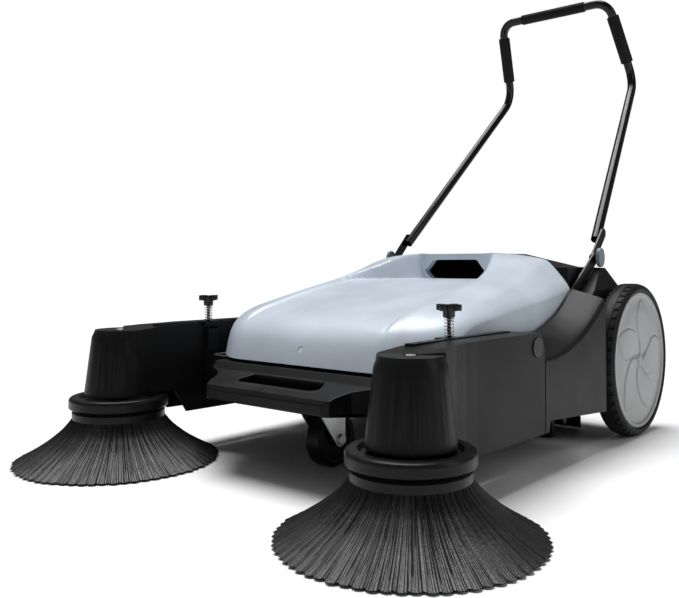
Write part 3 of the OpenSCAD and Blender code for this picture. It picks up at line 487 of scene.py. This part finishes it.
def wheel_disc(side, sign):
    """Moulded disc with five curved petals, a rolled lip and a raised hub."""
    low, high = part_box("hubcap_" + side)
    outer_x = max(abs(low[0]), abs(high[0])) * 1000
    cy, cz = (low[1] + high[1]) / 2, (low[2] + high[2]) / 2
    base = outer_x - DISC_DEPTH_MM
    radii = list(HUB_RADII_MM) + [HUB_RADII_MM[-1] + 2.2 * k for k in range(1, 49)] + list(LIP_RADII_MM)
    columns = 300

    def surface(r, a):
        dish = -1.2 + 2.2 * smoothstep(20, 70, r) - 1.6 * smoothstep(95, 128, r)
        lean = a - 0.0058 * r - 0.25 * math.sin(r / 150 * math.pi)
        across = abs(((lean * PETALS / math.tau) % 1.0) - 0.5) * math.tau / PETALS * r
        half_width = 4.0 + 31.0 * math.sin(max(0.0, min(1.0, (r - 14) / 112)) ** 1.25 * math.pi) ** 0.8
        petal = smoothstep(2.2, -2.2, across - half_width) if 14 < r < 126 else 0.0
        outline = math.exp(-((across - half_width - 1.0) / 1.6) ** 2) if 18 < r < 124 else 0.0
        hub_turn = abs(((a * PETALS / math.tau + 0.2) % 1.0) - 0.5) * 2
        hub = smoothstep(17.0 - 4 * hub_turn, 11.0 - 4 * hub_turn, r)
        lip = smoothstep(133.5, 135.8, r) * smoothstep(143.6, 141.8, r)
        return base + dish + 1.5 * petal - 1.3 * outline + 3.6 * hub + 3.4 * lip

    points = [(sign * surface(0.1, 0.0) / 1000, cy, cz)]
    for r in radii[1:]:
        for k in range(columns):
            a = math.tau * k / columns
            points.append((sign * surface(r, a) / 1000, cy + r / 1000 * math.cos(a), cz + r / 1000 * math.sin(a)))
    faces = [(0, 1 + k, 1 + (k + 1) % columns) for k in range(columns)]
    faces += grid(len(radii) - 1, columns, wrap_columns=True, base=1)
    rim = 1 + (len(radii) - 2) * columns
    back = len(points)
    for k in range(columns):
        a = math.tau * k / columns
        r = DISC_R_MM / 1000
        points.append((sign * (outer_x - 6.8) / 1000, cy + r * math.cos(a), cz + r * math.sin(a)))
    faces += [(rim + k, rim + (k + 1) % columns, back + (k + 1) % columns, back + k) for k in range(columns)]
    faces.append(tuple(back + k for k in range(columns)))
    return make("wheel_cover_" + side, points, faces, "wheel_disc", "wheel_" + side, ["hubcap_" + side], angle=60.0)


# ---------------------------------------------------------------- side panels

# Front to rear in millimetres: y, then the top's height at the outer edge, over the belt and at the inner edge
PANEL_MM = ((-149, 202, 243, 245), (-126, 202, 241, 243), (-88, 206, 236.5, 240), (-55, 213, 234, 240),
            (-20, 223, 240, 248), (22, 240, 255, 262), (64, 263, 277, 283), (110, 293, 308, 314))

# Front to rear: y and the lower edge's height
PANEL_FOOT_MM = ((-149, 76), (-137.5, 76), (-136, 78), (-133, 93), (-131, 95), (110, 76))


def side_panel(side, sign):
    """Moulded panel whose top sweeps up to the wheel, with a rolled outer edge and an open underside."""
    front, rear = PANEL_MM[0][0], PANEL_MM[-1][0]
    steps = 44
    rings, points = [], []
    for k in range(steps + 1):
        y = front + (rear - front) * k / steps
        edge, belt, inner = (smooth([(row[0], row[i]) for row in PANEL_MM], y) for i in (1, 2, 3))
        base = lookup(PANEL_FOOT_MM, y)
        wall = 272 + 1.2 * smoothstep(34, 42, y)
        lip = edge + 3.6
        skin = [(345, base), (345, edge - 7), (344.6, edge - 3.5), (343.4, edge - 0.8), (341.4, edge + 1.4),
                (338, lip), (325, lip + (belt - edge - 3.6) * 0.34), (310, lip + (belt - edge - 3.6) * 0.71),
                (297, belt), (290, belt + (inner - belt) * 0.3), (280, belt + (inner - belt) * 0.72),
                (wall + 3, inner - 0.4), (wall + 1, inner - 1.2), (wall, inner - 3), (wall, base)]
        inside = [(wall + 3, base), (wall + 3, inner - 5.5), (282, inner - 5.5), (296, belt - 3.2), (338, edge - 0.4),
                  (341.5, edge - 4), (341.8, base)]
        rings.append((y, skin + inside))
    per = len(rings[0][1])
    for y, ring in rings:
        points += [(sign * x / 1000, y / 1000, z / 1000) for x, z in ring]
    faces = grid(steps + 1, per, wrap_columns=True) + ends(steps + 1, per)
    return make("side_panel_" + side, points, faces, "panel_moulding", "frame", angle=42.0)


# ---------------------------------------------------------------- arm corners

# Outline of the gear tower above the arm's waist in millimetres: height and radius
TOWER_MM = ((196, 53.8), (204, 52.8), (212, 51.9), (220, 50.9), (227, 50.1), (230, 49.1), (234, 47.4), (238, 45.7),
            (241.6, 44.1))
TOWER_AT_MM = (337.0, -528.0)
ARM_INNER_X_MM = 282.0


def arm_corner(side, sign):
    """Moulded web that fairs the tower into the arm's inner wall."""
    cx, cy = TOWER_AT_MM
    wall = ARM_INNER_X_MM
    points = []
    for z, r in TOWER_MM:
        ring = [(cx - math.sqrt(r * r - a * a) + 0.1, cy - a) for a in (20.0, 13.0)]
        ring[1] = (min(ring[1][0], wall + (ring[0][0] - wall) * 0.42), ring[1][1])
        ring += [(wall - 0.1, cy - 1.2), (wall - 0.1, cy + 1.0), (wall + 3.6, cy + 3.0), (cx - r + 2.0, cy + 1.0)]
        points += [(sign * x / 1000, y / 1000, z / 1000) for x, y in ring]
    faces = grid(len(TOWER_MM), 6, wrap_columns=True) + ends(len(TOWER_MM), 6)
    return make("tower_corner_" + side, points, faces, "black_moulding", "arm_" + side, angle=30.0)


# ---------------------------------------------------------------- adjuster springs

def coil(side):
    """Compression spring with closed ends."""
    low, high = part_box("adjuster_spring_" + side)
    cx, cy = (low[0] + high[0]) / 2, (low[1] + high[1]) / 2
    wire, turns, per_turn, around = 0.85, 6.5, 36, 10
    r = (high[0] - low[0]) * 500 - wire
    z0, z1 = low[2] * 1000 + wire, high[2] * 1000 - wire
    points, count = [], int(turns * per_turn)
    for i in range(count + 1):
        f = i / count
        a = f * turns * math.tau
        flat = 1.0 / turns
        z = z0 + (z1 - z0) * smoothstep(flat * 0.4, 1 - flat * 0.4, f) * 0.35 + (z1 - z0) * f * 0.65
        for k in range(around):
            b = math.tau * k / around
            rr = r + wire * math.cos(b)
            points.append((cx + rr * math.cos(a) / 1000, cy + rr * math.sin(a) / 1000,
                           (z + wire * math.sin(b)) / 1000))
    faces = grid(count + 1, around, wrap_columns=True) + ends(count + 1, around)
    o = make("coil_" + side, points, faces, "spring_steel", "frame", ["adjuster_spring_" + side], angle=60.0)
    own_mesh(o)
    return o


# ---------------------------------------------------------------- hood

RISE_MM = ((0, 188), (6, 214), (13, 234), (26, 252.5), (48, 267.5), (80, 280), (110, 288), (170, 302.5), (230, 316),
           (290, 328.5), (330, 338), (400, 359), (455, 378), (490, 386.5), (515, 387.5))
FRONT_MM = ((0, -398), (120, -398), (160, -396.5), (184, -390), (205, -379), (235, -358), (258, -335), (268, -318))
FALL_FROM_MM = ((-400, 190), (-100, 176), (110, 108))
SIDE_FALL_MM = ((-318, 4), (-260, 10), (-176, 21), (-38, 32), (73, 46), (117, 56))
CREASE_MM = ((-398, 170), (-330, 168), (-200, 165), (-110, 164), (-78, 161), (-30, 146), (20, 120), (60, 98),
             (98, 77))
SIDE_CREASE_MM = ((-400, 246), (-200, 242), (0, 232), (110, 216))
FLOOR_MM = 335.0
HALF_WIDTH_MM = 268
REAR_MM = 117.0
GRIP_REAR_MM = 97
COVER_MM = 3
BUTTON_HOLE_R, BUTTON_LEAN = 0.0062, 16
GRIP_MM = ((-78, 350.5), (-73, 355.5), (-58, 372.5), (-52, 374), (52, 374), (58, 372.5), (73, 355.5), (78, 350.5),
           (76, 346), (64, 334), (58, 332), (-58, 332), (-64, 334), (-76, 346))


def hood_height(x, y, front):
    """Height of the hood's outer skin: middle panel, shoulders that rise beside the grip, and a faceted side."""
    a = abs(x)
    start = lookup(FALL_FROM_MM, y)
    bend = lookup(SIDE_CREASE_MM, y)
    gentle = max(0.0, a - start) / (HALF_WIDTH_MM - start)
    over = a - bend
    steep = (over + math.sqrt(over * over + 16.0)) / 2 / (HALF_WIDTH_MM - bend)
    fall = lookup(SIDE_FALL_MM, y) * (0.42 * gentle ** 1.5 + 0.58 * min(1.0, steep))
    crease = smooth(CREASE_MM, y)
    fade = smoothstep(4, 60, y - front)
    shoulder = 1.4 * fade * math.exp(-((a - crease - 18) / 15) ** 2)
    roll = 6.0 * (1 - math.sqrt(max(0.0, 1 - max(0.0, (a - 256) / 12) ** 2))) if a > 256 else 0.0
    rise = smooth(RISE_MM, y - front)
    outside = rise - fall + shoulder - roll
    over_floor = rise - FLOOR_MM
    panel = rise - (over_floor + math.sqrt(over_floor * over_floor + 30.0)) / 2 - 3.2 * fade
    width = 5.0 + 0.42 * max(0.0, outside - panel)
    if y > GRIP_REAR_MM:
        return outside
    return panel + (outside - panel) * smoothstep(crease - 1.5, crease - 1.5 + width, a)


def hood_solid(name, foot, thick):
    """Closed solid under the hood's skin, its walls moved inwards by thick."""
    half = [0, 30, 55] + [70 + 3 * k for k in range(42)] + [
        199, 204, 209, 214, 219, 224, 229, 234, 239, 244, 248, 252, 256, 259, 262, 264.5, 266.5, 267.6, HALF_WIDTH_MM]
    stations = [-x for x in half[:0:-1]] + half
    drops = [0, 3, 6, 9.5, 13, 18, 24, 31, 39, 48, 58, 69, 80] + [80 + 435 * k / 64 for k in range(1, 65)]
    points = []
    for x in stations:
        front = smooth(FRONT_MM, abs(x)) + 1.3 * thick
        rear = REAR_MM - thick
        narrow = (HALF_WIDTH_MM - thick) / HALF_WIDTH_MM
        points.append((x * narrow, front, foot))
        for d in drops[1:]:
            y = front + (rear - front) * d / drops[-1]
            points.append((x * narrow, y, hood_height(x, y - thick, front - 1.3 * thick) - thick))
        points.append((x * narrow, rear, foot))
    per = len(drops) + 1
    faces = grid(len(stations), per, wrap_columns=True) + ends(len(stations), per)
    return solid(name, [(x / 1000, y / 1000, z / 1000) for x, y, z in points], faces)


def solid(name, points, faces):
    """A plain closed mesh, to be cut or to cut with."""
    mesh = bpy.data.meshes.new(name)
    mesh.from_pydata(points, [], faces)
    face_outwards(mesh)
    o = bpy.data.objects.new(name, mesh)
    bpy.context.collection.objects.link(o)
    return o


def prism(name, outline, low, high):
    """Solid between two planes across Y; outline is (x, z) in millimetres."""
    n = len(outline)
    points = [(x / 1000, y / 1000, z / 1000) for y in (low, high) for x, z in outline]
    faces = [tuple(range(n)), tuple(range(n, 2 * n))] + [(k, (k + 1) % n, n + (k + 1) % n, n + k) for k in range(n)]
    return solid(name, points, faces)


def cut(o, *cutters):
    """Takes each cutter out of o, one after another; the cutters are removed."""
    bpy.context.view_layer.objects.active = o
    for c in cutters:
        m = o.modifiers.new("cut", "BOOLEAN")
        m.operation = "DIFFERENCE"
        m.solver = "EXACT"
        m.object = c
        bpy.ops.object.modifier_apply(modifier=m.name)
        bpy.data.objects.remove(c)


def hood():
    """Thin moulded cover with the carrying grip let in under its ridge."""
    outer = hood_solid("hood_cover", 188, 0)
    inner = hood_solid("inner", 180, COVER_MM)
    cut(inner, prism("grip_wall", [(-104, 322), (104, 322), (104, 420), (-104, 420)], 94, 140))
    rear_gap = [(-270, 170), (270, 170), (270, 227), (-270, 227)]
    cut(outer, inner, prism("grip_hole", GRIP_MM, 80, 140), prism("rear_gap", rear_gap, 36, 125))
    cut(outer, button_hole())
    outer.data.materials.clear()
    outer.data.materials.append(LOOKS["hood_plastic"])
    for poly in outer.data.polygons:
        poly.material_index = 0
    b = outer.modifiers.new("edge", "BEVEL")
    b.width, b.segments, b.limit_method, b.angle_limit = 0.0032, 4, "ANGLE", math.radians(32)
    b.harden_normals = True
    outer.data.shade_smooth()
    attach(outer, "hood_unit")
    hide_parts("hood")
    return outer


def button_hole():
    """Cylinder through the hood's front wall, square to the leaning button."""
    bpy.ops.mesh.primitive_cylinder_add(vertices=48, radius=BUTTON_HOLE_R, depth=0.03, location=middle("hood_button"),
                                        rotation=(math.radians(90 - BUTTON_LEAN), 0, 0))
    return bpy.context.object


# ---------------------------------------------------------------- floor, light and camera

def floor_and_light():
    bpy.ops.mesh.primitive_plane_add(size=30.0, location=(0, 0, 0))
    floor = bpy.context.object
    floor.name = "floor"
    g = Graph("floor")
    g.set(Base_Color=g.mix(g.span(g.noise(0.7, 3.0), 0.4, 0.6), (0.93, 0.93, 0.935, 1.0), (0.95, 0.95, 0.95, 1.0)))
    g.set(Roughness=g.span(g.noise(5.0, 4.0), 0.3, 0.7, 0.55, 0.7))
    g.bump((g.noise(400.0, 2.0), 0.00003))
    floor.data.materials.append(g.material)

    world = bpy.data.worlds.new("studio")
    bpy.context.scene.world = world
    world.use_nodes = True
    tree = world.node_tree
    background = tree.nodes["Background"]
    background.inputs["Color"].default_value = (1.0, 1.0, 1.0, 1.0)
    seen = tree.nodes.new("ShaderNodeLightPath").outputs["Is Camera Ray"]
    strength = tree.nodes.new("ShaderNodeMapRange")
    strength.inputs["To Min"].default_value = 0.13
    strength.inputs["To Max"].default_value = 1.0
    tree.links.new(seen, strength.inputs["Value"])
    tree.links.new(strength.outputs["Result"], background.inputs["Strength"])

    sun = bpy.data.lights.new("overhead", "SUN")
    sun.energy = 3.5
    sun.angle = math.radians(40)
    o = bpy.data.objects.new("overhead", sun)
    bpy.context.collection.objects.link(o)
    o.rotation_euler = Vector((0.22, -0.12, -1.0)).to_track_quat("-Z", "Y").to_euler()

    def area(name, place, target, size, power, size_y=None):
        light = bpy.data.lights.new(name, "AREA")
        light.energy = power
        light.shape = "RECTANGLE"
        light.size = size
        light.size_y = size_y or size
        o = bpy.data.objects.new(name, light)
        bpy.context.collection.objects.link(o)
        o.location = place
        o.rotation_euler = (Vector(target) - Vector(place)).to_track_quat("-Z", "Y").to_euler()

    area("key", (-1.6, -1.2, 2.2), (0.0, -0.1, 0.2), 1.2, 4.0)
    area("side", (2.2, 0.4, 1.3), (0.2, 0.1, 0.2), 0.7, 9.0, 1.8)


def add_camera():
    """At the photo's viewing angle: 39 degrees round to the machine's right front, a third of a metre up."""
    lens_mm, sensor_mm = 41.49, 36.0
    data = bpy.data.cameras.new("camera")
    data.lens = lens_mm
    data.sensor_width = sensor_mm
    data.sensor_fit = "HORIZONTAL"
    data.shift_x = -0.0456
    data.shift_y = -0.0851
    camera = bpy.data.objects.new("camera", data)
    bpy.context.collection.objects.link(camera)
    camera.location = (0.9550, -1.3766, 0.3617)
    camera.rotation_euler = (math.radians(90.0 + 1.753), 0.0, math.radians(38.997))
    bpy.context.scene.camera = camera


for side, sign in SIDES:
    brush_bristles(side, sign)
    tyre(side, sign)
    wheel_disc(side, sign)
    coil(side)
    arm_corner(side, sign)

panels = [side_panel(side, sign) for side, sign in SIDES]
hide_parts("side_fenders")

hood()

floor_and_light()
add_camera()
bpy.context.scene.view_settings.view_transform = "Standard"
